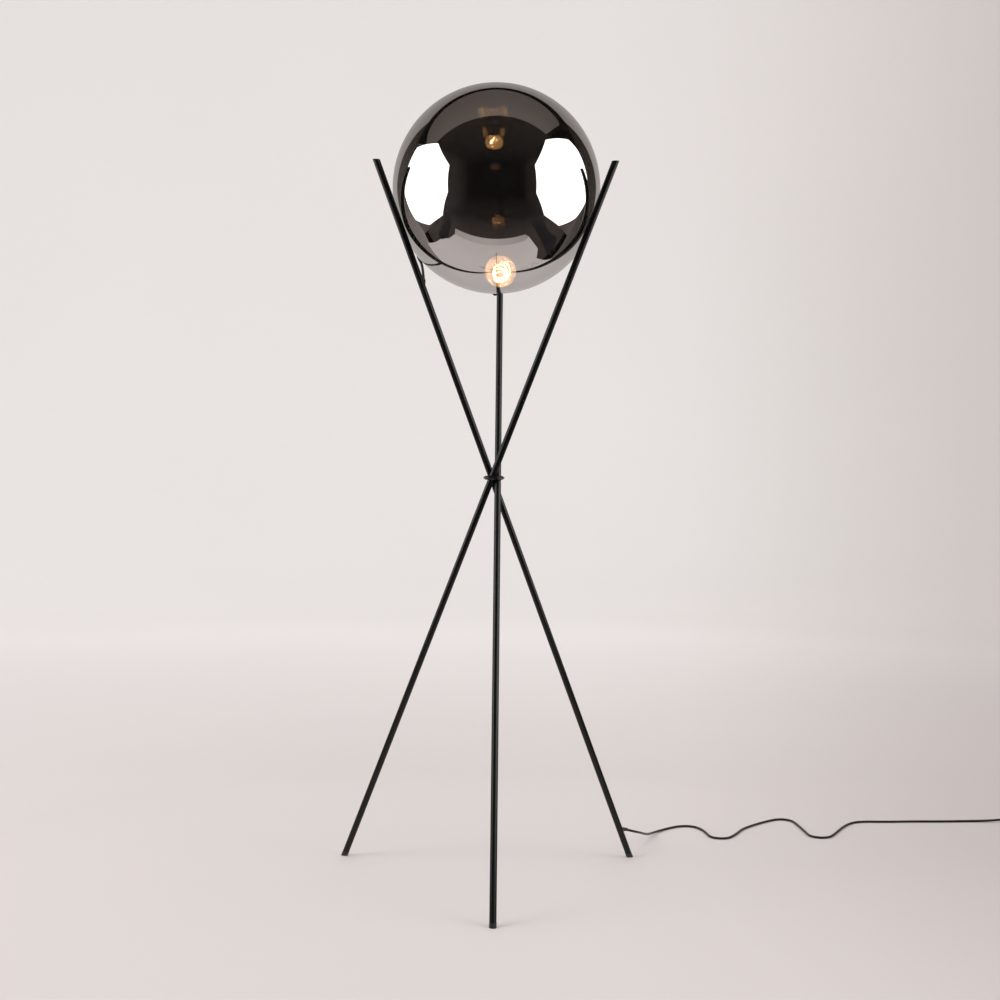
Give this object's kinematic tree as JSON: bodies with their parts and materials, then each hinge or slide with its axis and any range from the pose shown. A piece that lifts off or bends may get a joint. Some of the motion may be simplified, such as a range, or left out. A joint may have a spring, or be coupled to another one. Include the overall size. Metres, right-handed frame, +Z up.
{
  "type": "globe floor lamp",
  "caption": "Floor lamp of slanted black tubes crossing at a waist ring, with a smoked glass globe between their tops, a warm bulb inside, and a mains cord with foot switch and plug.",
  "frame": {"origin": "on the floor, at the middle of the lamp's own bounding box (feet, tubes and globe, without the free cord)", "axes": "+Z up, -Y towards the front (the side the globe is seen from), +X to the right as seen from the front; the mains cord leaves towards +X"},
  "size_m": [1.6395, 0.8804, 1.4952],
  "materials": {
    "black_tube": "satin black powder coat",
    "steel": "plain zinc plated steel",
    "cap_plastic": "matt black",
    "smoked_glass": "polished thin smoked glass, half mirrored",
    "seal_rubber": "matt",
    "screw_metal": "satin black, fluted",
    "holder_plastic": "moulded, fine grain",
    "brass": "plain",
    "bulb_metal": "rolled thread",
    "bulb_insulator": "vitreous black",
    "bulb_glass": "clear, faintly amber",
    "filament": "bright warm filament",
    "cord_rubber": "smooth black sheath",
    "relief_rubber": "matt black",
    "switch_plastic": "moulded, fine grain"
  },
  "bodies": {
    "frame": {"lower_tube_rear": "black_tube", "middle_tube_rear": "black_tube", "upper_tube_rear": "black_tube", "lower_tube_left": "black_tube", "middle_tube_left": "black_tube", "upper_tube_left": "black_tube", "lower_tube_right": "black_tube", "middle_tube_right": "black_tube", "upper_tube_right": "black_tube", "joint_studs": "steel", "foot_caps": "cap_plastic", "top_plugs": "cap_plastic", "waist_ring": "black_tube", "glass_globe": "smoked_glass", "gallery_cup": "black_tube", "gallery_gasket": "seal_rubber", "gallery_gland": "relief_rubber", "gallery_arm": "black_tube", "holder_bracket": "steel", "holder_nipple": "steel", "holder_nut": "steel", "holder_cap": "holder_plastic", "holder_insert": "holder_plastic", "holder_contact": "brass", "holder_shell": "brass", "holder_skirt": "holder_plastic", "lower_cord_relief": "relief_rubber", "upper_cord_relief": "relief_rubber", "inner_lead": "cord_rubber", "upper_lead": "cord_rubber", "mains_cord": "cord_rubber", "switch_base": "switch_plastic", "switch_cover": "switch_plastic", "switch_spring": "steel", "switch_screws": "steel", "switch_relief_left": "relief_rubber", "switch_relief_right": "relief_rubber", "cord_to_coil": "cord_rubber", "cord_coil": "cord_rubber", "coil_tie": "cord_rubber", "cord_to_plug": "cord_rubber", "plug_body": "switch_plastic", "plug_relief": "relief_rubber", "plug_pins": "brass"},
    "bulb": {"bulb_contact": "bulb_metal", "bulb_insulator": "bulb_insulator", "bulb_cap": "bulb_metal", "bulb_glass": "bulb_glass", "bulb_stem": "bulb_glass", "bulb_filament": "filament"},
    "thumb_screw_1": {"thumb_screw_1": "screw_metal"},
    "thumb_screw_2": {"thumb_screw_2": "screw_metal"},
    "thumb_screw_3": {"thumb_screw_3": "screw_metal"},
    "switch_button": {"switch_button": "switch_plastic"}
  },
  "joints": [
    {"name": "bulb_turn", "type": "hinge", "parent": "frame", "child": "bulb", "pos_m": [0.01125, 0.11807, 1.1509], "axis": [0, -1, 0], "continuous": true},
    {"name": "thumb_screw_1_turn", "type": "hinge", "parent": "frame", "child": "thumb_screw_1", "pos_m": [0.00205, 0.13143, 1.15141], "axis": [0.866, 0.383, 0.3214], "continuous": true},
    {"name": "thumb_screw_2_turn", "type": "hinge", "parent": "frame", "child": "thumb_screw_2", "pos_m": [0.00205, 0.13143, 1.15141], "axis": [-0.866, 0.383, 0.3214], "continuous": true},
    {"name": "thumb_screw_3_turn", "type": "hinge", "parent": "frame", "child": "thumb_screw_3", "pos_m": [0.00205, 0.13143, 1.15141], "axis": [0, -0.766, -0.6428], "continuous": true},
    {"name": "switch_press", "type": "slide", "parent": "frame", "child": "switch_button", "axis": [0, 0, -1], "range_m": [0, 0.0025], "stiffness_N_per_m": 900, "springref_m": -0.002, "deforming": ["switch_spring"]}
  ]
}
